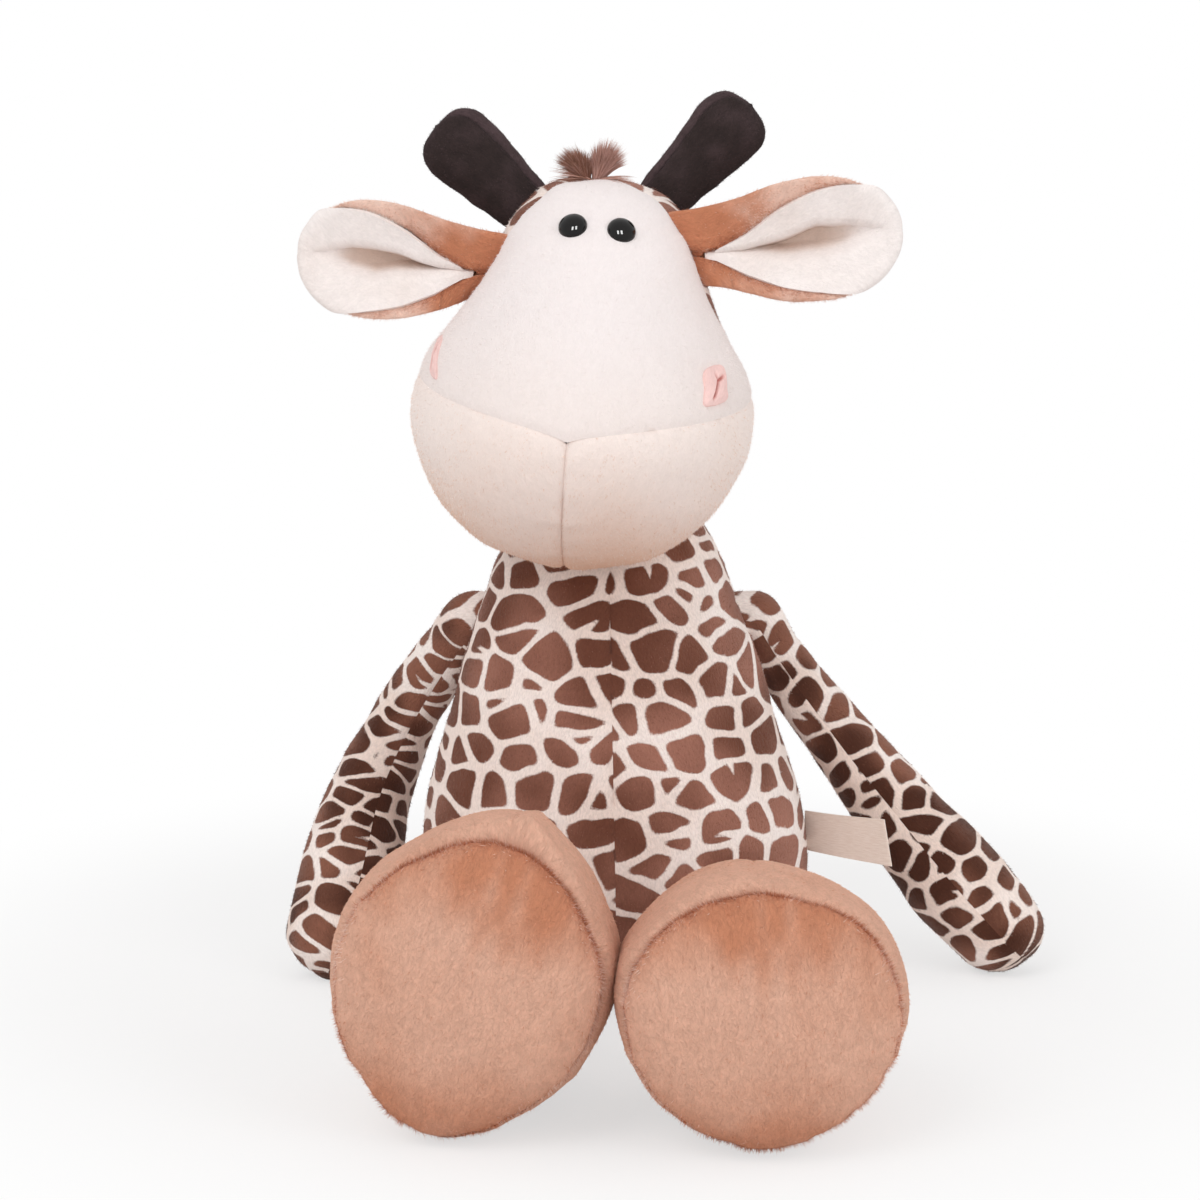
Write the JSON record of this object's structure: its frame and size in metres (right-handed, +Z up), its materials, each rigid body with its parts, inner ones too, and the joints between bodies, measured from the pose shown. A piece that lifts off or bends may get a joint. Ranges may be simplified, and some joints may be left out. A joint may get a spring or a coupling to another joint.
{
  "type": "plush giraffe",
  "caption": "Sitting stuffed giraffe with a wide pale muzzle, horns, cupped ears, hanging arms, short legs and big round feet; head, ears, arms, legs and tail swing on their sewn roots.",
  "frame": {"origin": "middle of the flat seat under the body, on the floor plane", "axes": "+Z up, the toy faces -Y, +X to the viewer's right when looking at its face"},
  "size_m": [0.2689, 0.2708, 0.3251],
  "materials": {
    "print_plush": "matte",
    "white_plush": "matte",
    "cream_plush": "matte",
    "tan_plush": "matte",
    "dark_plush": "matte",
    "pink_plush": "matte",
    "brown_hair": "matte",
    "satin_ribbon": "satin",
    "eye_black": "gloss",
    "washer_plastic": "satin",
    "stuffing": "matte"
  },
  "bodies": {
    "body": {"body_front_left_panel": "print_plush", "body_front_right_panel": "print_plush", "body_back_left_panel": "print_plush", "body_back_right_panel": "print_plush", "body_stuffing": "stuffing"},
    "neck": {"neck_stuffing": "stuffing"},
    "head": {"face_panel": "white_plush", "muzzle_left_panel": "cream_plush", "muzzle_right_panel": "cream_plush", "head_back_left_panel": "print_plush", "head_back_right_panel": "print_plush", "head_stuffing": "stuffing", "eye_left": "eye_black", "eye_right": "eye_black", "eye_washer_left": "washer_plastic", "eye_washer_right": "washer_plastic", "nostril_left": "pink_plush", "nostril_right": "pink_plush", "hair_tuft": "brown_hair", "horn_left_front_panel": "dark_plush", "horn_left_back_panel": "dark_plush", "horn_left_stuffing": "stuffing", "horn_right_front_panel": "dark_plush", "horn_right_back_panel": "dark_plush", "horn_right_stuffing": "stuffing"},
    "ear_left": {"ear_left_back": "tan_plush", "ear_left_lining": "white_plush"},
    "ear_right": {"ear_right_back": "tan_plush", "ear_right_lining": "white_plush"},
    "arm_left": {"arm_left_outer_panel": "print_plush", "arm_left_inner_panel": "print_plush", "arm_left_stuffing": "stuffing"},
    "arm_right": {"arm_right_outer_panel": "print_plush", "arm_right_inner_panel": "print_plush", "arm_right_stuffing": "stuffing"},
    "leg_left": {"leg_left_left_panel": "print_plush", "leg_left_right_panel": "print_plush", "leg_left_stuffing": "stuffing", "foot_left_left_upper": "tan_plush", "foot_left_right_upper": "tan_plush", "foot_left_sole": "tan_plush", "foot_left_stuffing": "stuffing"},
    "leg_right": {"leg_right_left_panel": "print_plush", "leg_right_right_panel": "print_plush", "leg_right_stuffing": "stuffing", "foot_right_left_upper": "tan_plush", "foot_right_right_upper": "tan_plush", "foot_right_sole": "tan_plush", "foot_right_stuffing": "stuffing"},
    "tail": {"tail": "print_plush", "tail_brush": "dark_plush"},
    "label": {"label_ribbon": "satin_ribbon"}
  },
  "joints": [
    {"name": "head_turn", "type": "hinge", "parent": "body", "child": "neck", "pos_m": [-0.001, 0, 0.152], "axis": [0, 0, 1], "range_deg": [-35, 35], "stiffness_Nm_per_rad": 0.05},
    {"name": "head_nod", "type": "hinge", "parent": "neck", "child": "head", "pos_m": [-0.001, 0, 0.152], "axis": [1, 0, 0], "range_deg": [-20, 8], "stiffness_Nm_per_rad": 0.6},
    {"name": "ear_left_flap", "type": "hinge", "parent": "head", "child": "ear_left", "pos_m": [-0.04466, -0.01211, 0.25984], "axis": [0.0869, -0.0061, 0.9962], "range_deg": [-20, 25], "stiffness_Nm_per_rad": 0.004},
    {"name": "ear_right_flap", "type": "hinge", "parent": "head", "child": "ear_right", "pos_m": [0.02855, -0.01837, 0.26679], "axis": [0.0869, -0.0061, 0.9962], "range_deg": [-25, 20], "stiffness_Nm_per_rad": 0.004},
    {"name": "arm_left_lift", "type": "hinge", "parent": "body", "child": "arm_left", "pos_m": [-0.05676, 0.01264, 0.13159], "axis": [0, 1, 0], "range_deg": [0, 80]},
    {"name": "arm_right_lift", "type": "hinge", "parent": "body", "child": "arm_right", "pos_m": [0.05504, 0.01263, 0.13168], "axis": [0, -1, 0], "range_deg": [0, 70]},
    {"name": "leg_left_raise", "type": "hinge", "parent": "body", "child": "leg_left", "pos_m": [-0.04139, -0.06219, 0.0245], "axis": [-1, 0, 0], "range_deg": [-50, 40]},
    {"name": "leg_right_raise", "type": "hinge", "parent": "body", "child": "leg_right", "pos_m": [0.04139, -0.06219, 0.0245], "axis": [-1, 0, 0], "range_deg": [-50, 40]},
    {"name": "tail_swing", "type": "hinge", "parent": "body", "child": "tail", "pos_m": [-0.00037, 0.05879, 0.05662], "axis": [1, 0, 0], "range_deg": [0, 90]},
    {"name": "label_flap", "type": "hinge", "parent": "body", "child": "label", "pos_m": [0.0705, 0, 0.05483], "axis": [0, 0, 1], "range_deg": [-25, 0]}
  ]
}
